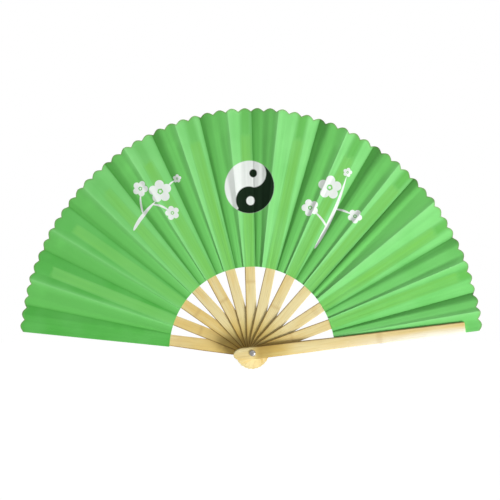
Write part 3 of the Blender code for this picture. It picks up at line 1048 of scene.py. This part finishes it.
def makeCloth(name, printShare, ribShare, side):
    made, tree, shader = newMaterial(name)
    cover = cloth["cover"]
    place = markOn(tree, "leafPlace")
    x, z, rim = splitUp(place)
    overRib, ridge, valley = splitUp(markOn(tree, "leafMarks"))
    reach = spanOf(x, z)
    turn = calc("ARCTAN2", z, x)
    polar = work("CombineXYZ", {0: turn, 1: reach})
    wear = useGroup(wearGroup, place, cloth["handlingScale"])
    threads = useGroup(weaveGroup, place, cloth["threads"])
    streak = streaksOn(polar, cloth["streaks"])
    loose = streaksOn(polar, *cloth["looseness"])

    # the green, darker in random patches, with painted shade at the leaf's ends, on its pleats and in
    # their creases
    leftEnd = softEdge(turn, *cloth["leftEnd"])
    rightEnd = softEdge(turn, *cloth["rightEnd"])
    # painted shade at the leaf's ends, over random darker patches
    endShade = sumOf(leftEnd, rightEnd, cloth["endShadeShares"])
    patch = timesPlus(wear["Patch"], cloth["patchShare"], endShade)
    colour = blendColour(patch, cloth["green"], cloth["deepAndShadedGreen"])
    # painted shade on the pleats, less at the right end
    inPleat = calc("GREATER_THAN", overRib, leaf["pleatMark"] - 1)
    pleatShadeCover = timesPlus(rightEnd, *cloth["pleatShadeCover"])
    colour = layer(colour, cloth["pleatShadeGreen"], inPleat, pleatShadeCover)
    share = minus(overRib, leaf["pleatMark"])
    plain = sumOf(leftEnd, rightEnd, cloth["plainShares"])
    folded = product(inPleat, minus(1.0, plain))
    # painted shade on each pleat's steeper side, beside its valley
    creaseShadeMask = softEdge(share, cloth["creaseShare"], cloth["creaseStart"])
    colour = layer(colour, cloth["creaseShadeGreen"], creaseShadeMask, folded, cover["crease"])

    # the ribs behind it, their outlines, and painted shade in the hollows past their tips
    tipLine = timesPlus(wear["Cloud"], *cloth["tipLine"])
    inReach = softEdge(minus(tipLine, reach), *cloth["tipEdge"])
    strayed = timesPlus(loose, cloth["stray"], minus(overRib, cloth["stray"] / 2))
    onRib = product(softEdge(strayed, *cloth["ribFade"]), inReach)
    patchy = timesPlus(streak, cloth["streakShare"], timesPlus(loose, *cloth["looseShare"]))
    patchy = product(patchy, timesPlus(leftEnd, *cloth["ribCover"]), ribShare)
    onRib = calc("MULTIPLY", onRib, patchy, clamp=True)
    colour = blendColour(onRib, colour, cloth["overRib"])
    beside = softEdge(overRib, *cloth["outlineOutside"])
    onto = minus(1.0, beside)
    colour = layer(colour, cloth["paleAndHighlight"], onto, inReach, leftEnd, ribShare * cover["pale"])
    outline = minus(softEdge(overRib, *cloth["outlineInside"]), beside)
    colour = layer(colour, cloth["ribEdge"], outline, inReach, loose, ribShare * cover["ribEdge"])
    # painted shade in the hollows past the ribs' tips
    hollowShade = product(softEdge(overRib, *cloth["hollowEdge"]), minus(1.0, inReach))
    hollowShade = product(hollowShade, softEdge(turn, *cloth["hollows"]))
    colour = layer(colour, cloth["tipHollowShade"], hollowShade, timesPlus(loose, *cloth["hollowShare"]), ribShare)

    # painted highlight along the ridges, painted shade in the valleys, the paint and the rim
    colour = layer(colour, cloth["paleAndHighlight"], ridge, cover["paleAndHighlight"])
    colour = layer(colour, cloth["valley"], valley, cover["valley"])
    disc, dark = discMasks(place)
    paint = highest(paintMask(place), disc)
    opaque = timesPlus(wear["Cloud"], *cloth["printCover"])
    colour = layer(colour, cloth["white"], paint, opaque, printShare)
    colour = layer(colour, cloth["ink"], disc, dark, printShare)
    colour = layer(colour, cloth["rim"], rim, cover["rim"])

    # a pleat rises faster beside its valley, and its fold there is round
    climb = softEdge(share, -cloth["creaseShare"], cloth["creaseShare"])
    crest = softEdge(share, cloth["crestShare"], 1.0)
    climb = timesPlus(crest, cloth["crestDrop"], climb)
    inWide = product(*[softEdge(turn, *edge) for edge in cloth["widePleat"]])
    early, late = [softEdge(share, *run) for run in cloth["belly"]]
    belly = sumOf(early, late, cloth["bellyRise"])
    climb = product(timesPlus(belly, inWide, climb), folded, reach)
    crease = bumpOn(climb, 1.0, side * cloth["creaseRise"])
    ripple = streaksOn(polar, *cloth["ripples"])
    soft = bumpOn(ripple, 1.0, side * cloth["ripple"], crease)
    height = timesPlus(threads["Slub"], cloth["slubShare"], threads["Height"])
    inputs = {
        "Base Color": colour,
        "Roughness": timesPlus(wear["Cloud"], *cloth["roughness"]),
        "Normal": bumpOn(height, *cloth["weaveBump"], soft),
        "Specular IOR Level": cloth["specular"],
    }
    feedAll(shader, inputs)
    return made


leafSides = [
    makeCloth("leafFront", printShare=1.0, ribShare=1.0, side=1),
    makeCloth("leafBack", printShare=0.22, ribShare=0.0, side=-1),
]
edges = [makePanel(stick) for stick in sticks]
for left, right in zip(sticks, sticks[1:]):
    makePleat(left, right, edges[left["number"]]["right"], edges[right["number"]]["left"])
print("leaf: made", len(sticks), "panels and", lastStick, "pleats")


# Rivet
steel = {
    "colour": (0.34, 0.33, 0.33),
    "dull": (0.17, 0.16, 0.15),
    "roughness": (0.25, 0.24),
    "scratches": ((900.0, 900.0, 9000.0), 3.0),
    "scratchBump": (0.15, 0.00005),
    "handlingScale": 400.0,
    "dullShare": 0.5,
    "sharp": 40,
    "sides": 72,
    "domeSteps": 14,
    "rim": 0.0004,
    "pinBevel": 0.0003,
    "washerBevel": 0.00015,
}


def makeSteel():
    made, tree, shader = newMaterial("rivetSteel")
    place = addNode(tree, "TexCoord").outputs["Object"]
    wear = useGroup(wearGroup, place, steel["handlingScale"])
    scratches = streaksOn(place, *steel["scratches"])
    inputs = {
        "Base Color": layer(steel["colour"], steel["dull"], wear["Patch"], steel["dullShare"]),
        "Roughness": timesPlus(wear["Cloud"], *steel["roughness"]),
        "Normal": bumpOn(scratches, *steel["scratchBump"]),
        "Metallic": 1.0,
    }
    feedAll(shader, inputs)
    return made


def turnedPiece(name, node, profile, material):
    # a solid turned about the rivet's axis from points of radius and y
    loops = [circleAt(radius, y, steel["sides"]) for radius, y in profile]
    mesh = joinLoops(name, loops, closed=len(loops[0]) > 1)
    dress(mesh, [material], steel["sharp"])
    thing = addObject(name, mesh)
    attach(thing, [body for body, names in bodies.items() if node in names][0])
    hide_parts(node)


def domePoints(radius, height, seat, side):
    # a domed head on a short upright rim
    points = [(radius - steel["rim"] / 2, seat), (radius, seat + side * steel["rim"] / 2)]
    base = seat + side * steel["rim"]
    for step in range(steel["domeSteps"] + 1):
        turn = math.pi / 2 * step / steel["domeSteps"]
        points.append((radius * math.cos(turn), base + side * (height - steel["rim"]) * math.sin(turn)))
    points[-1] = (0, points[-1][1])
    return points


def readTurned(node):
    # its front and back, and its points' y and spans
    low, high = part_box(node)
    points, spans = nodePoints(node)
    return low.y, high.y, points[:, 1], spans


def makeRivet():
    material = makeSteel()
    front, back, y, spans = readTurned("rivet_pin")
    bevel = steel["pinBevel"]
    shank = spans[y > back - levelGap].max()
    headSeat = y[spans > shank + levelGap].max()
    profile = [(0, back), (shank - bevel, back), (shank, back - bevel), (shank, headSeat)]
    profile += domePoints(spans.max(), headSeat - front, headSeat, -1)
    turnedPiece("rivet_head_steel", "rivet_pin", profile, material)

    front, back, y, spans = readTurned("rivet_washer")
    inner, outer, bevel = spans.min(), spans.max(), steel["washerBevel"]
    profile = [(inner, front), (outer - bevel, front), (outer, front + bevel)]
    profile += [(outer, back - bevel), (outer - bevel, back), (inner, back)]
    turnedPiece("rivet_washer_steel", "rivet_washer", profile, material)

    front, back, y, spans = readTurned("rivet_cap")
    bore = spans[(spans > levelGap) & (y < front + levelGap)].min()
    floor = y[abs(spans - bore) < levelGap / 2].max()
    profile = [(0, floor), (bore, floor), (bore, front)]
    profile += domePoints(spans.max(), back - front, front, 1)
    turnedPiece("rivet_cap_steel", "rivet_cap", profile, material)


makeRivet()
print("rivet: made its head, washer and cap")


# Light and floor
studio = {
    "lamps": {  # place, size and power
        "key": ((3.40, -2.45, -2.06), 2.0, 262.0),
        "fill": ((0.5, -2.2, 1.5), 1.6, 8.0),
        "back": ((-1.3, 2.4, 1.6), 1.6, 95.0),
    },
    "aim": (0.0, 0.0, 0.15),
    "white": (1.0, 1.0, 1.0),
    "ambient": 0.20,
    "floorLevel": -3.2,
    "floorSize": 60.0,
    "floorLooks": {"Base Color": (0.82, 0.82, 0.81), "Roughness": 0.9, "Specular IOR Level": 0.1},
    "glowNear": 0.68,  # beside the object, where its shadow falls
    "glowFar": 0.84,  # where the floor meets the white surroundings
    "glowReach": (3.3, 6.0),
}


def addLamp(name, place, size, power):
    data = bpy.data.lights.new(name, "AREA")
    data.shape = "DISK"
    data.size = size
    data.energy = power
    lamp = addObject(name, data)
    lamp.location = place
    lamp.rotation_euler = (Vector(studio["aim"]) - lamp.location).to_track_quat("-Z", "Y").to_euler()


def seenDirectly(tree):
    # 1 for what the camera, a mirror or glass shows, 0 for what lights the object
    path = addNode(tree, "LightPath").outputs
    return highest(path["Is Camera Ray"], path["Is Glossy Ray"], path["Is Transmission Ray"])


def addWorld():
    world = bpy.data.worlds.new("studio")
    scene.world = world
    world.use_nodes = True
    tree = world.node_tree
    tree.nodes.clear()
    soft = addNode(tree, "Background", {"Color": studio["white"], "Strength": studio["ambient"]})
    white = addNode(tree, "Background", {"Color": studio["white"], "Strength": 1.0})
    both = addNode(tree, "MixShader", {0: seenDirectly(tree), 1: soft.outputs[0], 2: white.outputs[0]})
    output = addNode(tree, "OutputWorld", {0: both.outputs[0]})
    output.is_active_output = True


def addFloor():
    # the floor glows a little more further out, so it meets the white without a line
    size = studio["floorSize"] / 2
    level = studio["floorLevel"]
    mesh = bpy.data.meshes.new("floor")
    corners = [(-size, -size, level), (size, -size, level), (size, size, level), (-size, size, level)]
    mesh.from_pydata(corners, [], [(0, 1, 2, 3)])
    floor = addObject("floor", mesh)
    made, tree, shader = newMaterial("paleFloor")
    feedAll(shader, studio["floorLooks"])
    place = addNode(tree, "TexCoord").outputs["Object"]
    away = work("VectorMath", {0: place}, "Value", operation="LENGTH")
    further = softEdge(away, *studio["glowReach"])
    rise = studio["glowFar"] - studio["glowNear"]
    glowing = timesPlus(further, rise, studio["glowNear"])
    strength = product(seenDirectly(tree), glowing)
    glow = addNode(tree, "Emission", {"Color": studio["white"], "Strength": strength})
    both = addNode(tree, "AddShader", {0: shader.outputs[0], 1: glow.outputs[0]})
    feed(tree.nodes["Material Output"].inputs["Surface"], both.outputs[0])
    mesh.materials.append(made)


for name, lamp in studio["lamps"].items():
    addLamp(name, *lamp)
addWorld()
addFloor()
scene.view_settings.view_transform = "Standard"
print("studio: lit")
